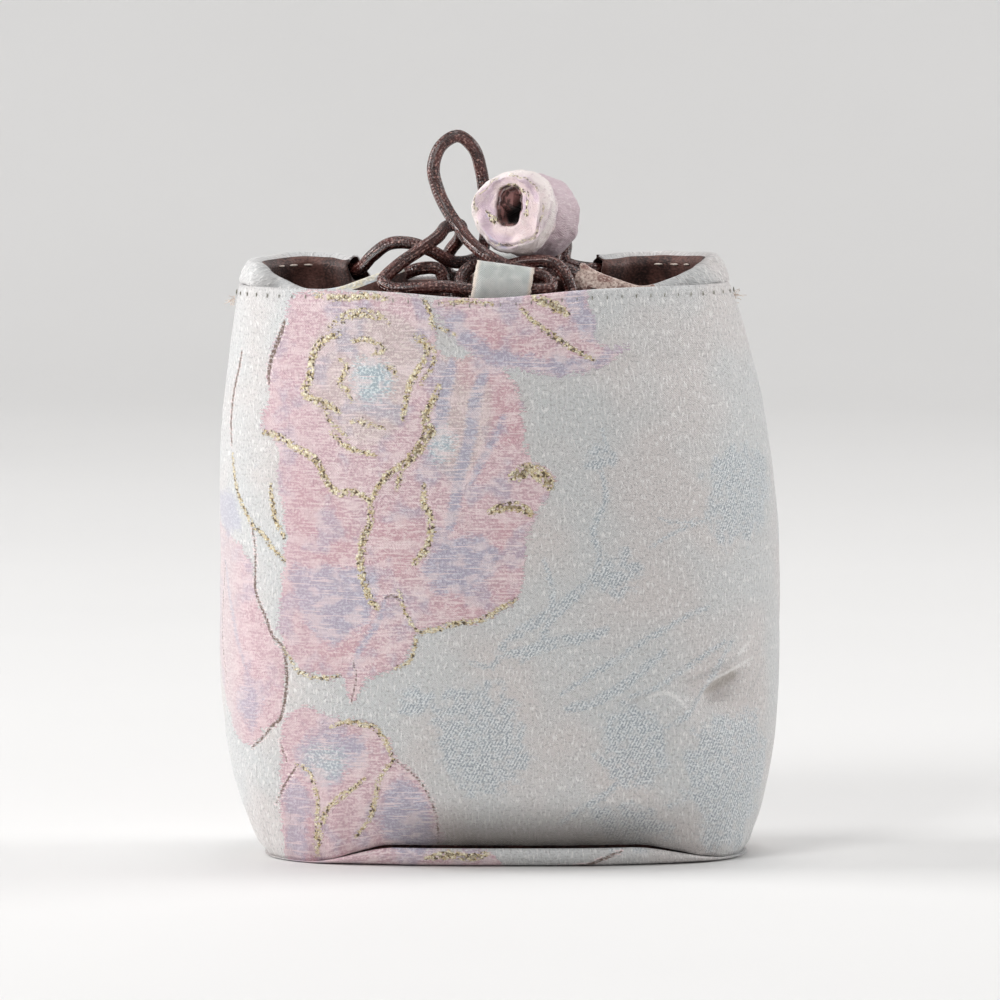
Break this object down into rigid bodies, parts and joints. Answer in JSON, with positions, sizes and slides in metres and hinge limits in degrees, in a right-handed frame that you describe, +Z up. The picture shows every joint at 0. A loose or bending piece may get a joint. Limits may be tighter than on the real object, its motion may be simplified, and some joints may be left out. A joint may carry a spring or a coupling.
{
  "type": "kinchaku drawstring pouch",
  "caption": "Small padded brocade drawstring pouch with a flat base, a brown lining, a waxed drawcord through casings at the mouth and a rolled cloth bead.",
  "frame": {"origin": "on the ground, under the middle of the pouch's outline", "axes": "+X to the pouch's right as seen from the front, -Y towards the front, +Z up"},
  "size_m": [0.0868, 0.052, 0.1113],
  "materials": {
    "brocade": "silver-white satin jacquard with woven flowers and gold outlines",
    "lining": "plain brown weave",
    "plain_satin": "pale grey satin",
    "bead_brocade": "rolled pink brocade with gold flecks",
    "waxed_cord": "glossy waxed brown cord"
  },
  "bodies": {
    "root": {"front_wall": "brocade", "back_wall": "brocade", "base_panel": "brocade", "lining": "lining", "casing_left": "brocade", "casing_right": "brocade", "front_loop": "plain_satin", "back_loop": "plain_satin", "bead": "bead_brocade", "drawcord": "waxed_cord"}
  },
  "joints": []
}
